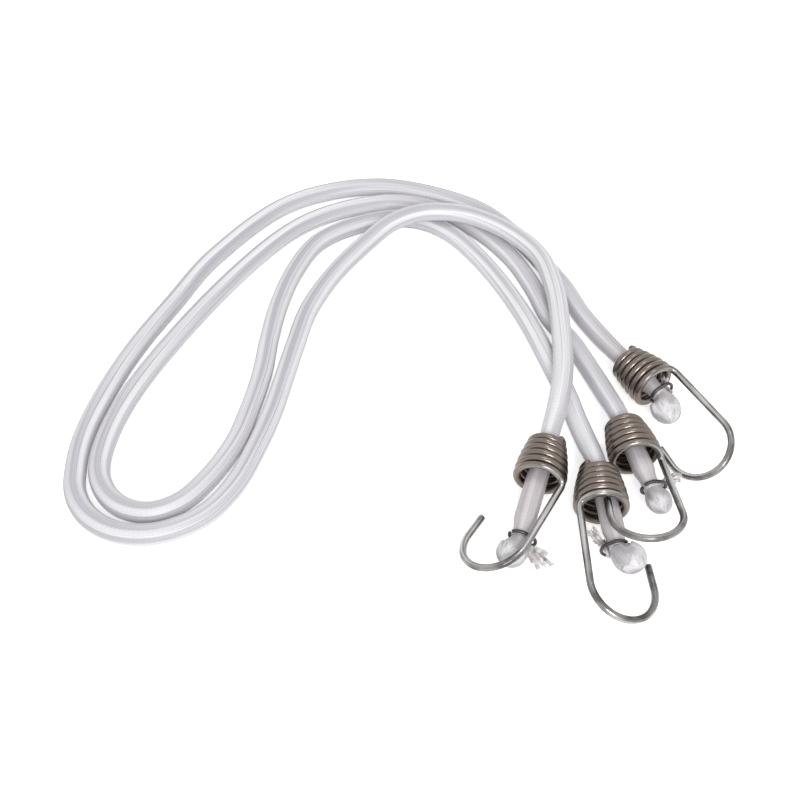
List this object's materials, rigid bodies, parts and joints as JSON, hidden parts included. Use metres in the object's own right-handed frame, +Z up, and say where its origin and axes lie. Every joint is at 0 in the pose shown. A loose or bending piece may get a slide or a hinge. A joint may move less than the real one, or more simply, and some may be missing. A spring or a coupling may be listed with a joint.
{
  "type": "elastic luggage cord with wire hooks",
  "caption": "Elastic cords lying together in an open loop, with a coiled wire hook at each end, held on by a fold of the cord closed with a ring.",
  "frame": {"origin": "middle of the pair's outline, on the ground under it", "axes": "+X along the longer side of the outline, towards the side with the hooks; +Y away from the hooks, towards the closed top of the loop; +Z up"},
  "size_m": [0.2443, 0.2326, 0.0237],
  "materials": {
    "woven_sleeve": "glossy woven polyester",
    "rubber_core": "matt latex strands",
    "hook_wire": "drawn stainless wire",
    "ring_wire": "dull steel wire",
    "folded_end": "pressed woven polyester",
    "frayed_end": "loose polyester threads"
  },
  "bodies": {
    "cords": {"jacket_outer": "woven_sleeve", "core_outer": "rubber_core", "jacket_inner": "woven_sleeve", "core_inner": "rubber_core", "hog_ring_3": "ring_wire", "cord_tail_3": "frayed_end", "cord_fold_3": "folded_end"},
    "end_1": {"hog_ring_1": "ring_wire", "cord_tail_1": "frayed_end", "cord_fold_1": "folded_end"},
    "hook_1": {"wire_hook_1": "hook_wire"},
    "end_2": {"hog_ring_2": "ring_wire", "cord_tail_2": "frayed_end", "cord_fold_2": "folded_end"},
    "hook_2": {"wire_hook_2": "hook_wire"},
    "hook_3": {"wire_hook_3": "hook_wire"},
    "end_4": {"hog_ring_4": "ring_wire", "cord_tail_4": "frayed_end", "cord_fold_4": "folded_end"},
    "hook_4": {"wire_hook_4": "hook_wire"}
  },
  "joints": [
    {"name": "end_1_twist", "type": "hinge", "parent": "cords", "child": "end_1", "pos_m": [0.0554, -0.0433, 0.0099], "axis": [-0.3083, -0.9487, -0.0698], "range_deg": [-90, 90]},
    {"name": "hook_1_slide", "type": "slide", "parent": "end_1", "child": "hook_1", "axis": [-0.3083, -0.9487, -0.0698], "range_m": [-0.004, 0.02]},
    {"name": "end_2_twist", "type": "hinge", "parent": "cords", "child": "end_2", "pos_m": [0.0727, -0.0552, 0.0086], "axis": [0.0784, -0.996, 0.0419], "range_deg": [-45, 0]},
    {"name": "hook_2_slide", "type": "slide", "parent": "end_2", "child": "hook_2", "axis": [0.0784, -0.996, 0.0419], "range_m": [0, 0.002]},
    {"name": "hook_3_slide", "type": "slide", "parent": "cords", "child": "hook_3", "axis": [0.2283, -0.9732, -0.0279], "range_m": [0, 0.0025]},
    {"name": "end_4_twist", "type": "hinge", "parent": "cords", "child": "end_4", "pos_m": [0.0897, -0.0012, 0.0082], "axis": [0.4992, -0.8647, 0.0558], "range_deg": [-90, 90]},
    {"name": "hook_4_slide", "type": "slide", "parent": "end_4", "child": "hook_4", "axis": [0.4992, -0.8647, 0.0558], "range_m": [-0.006, 0.004]}
  ]
}
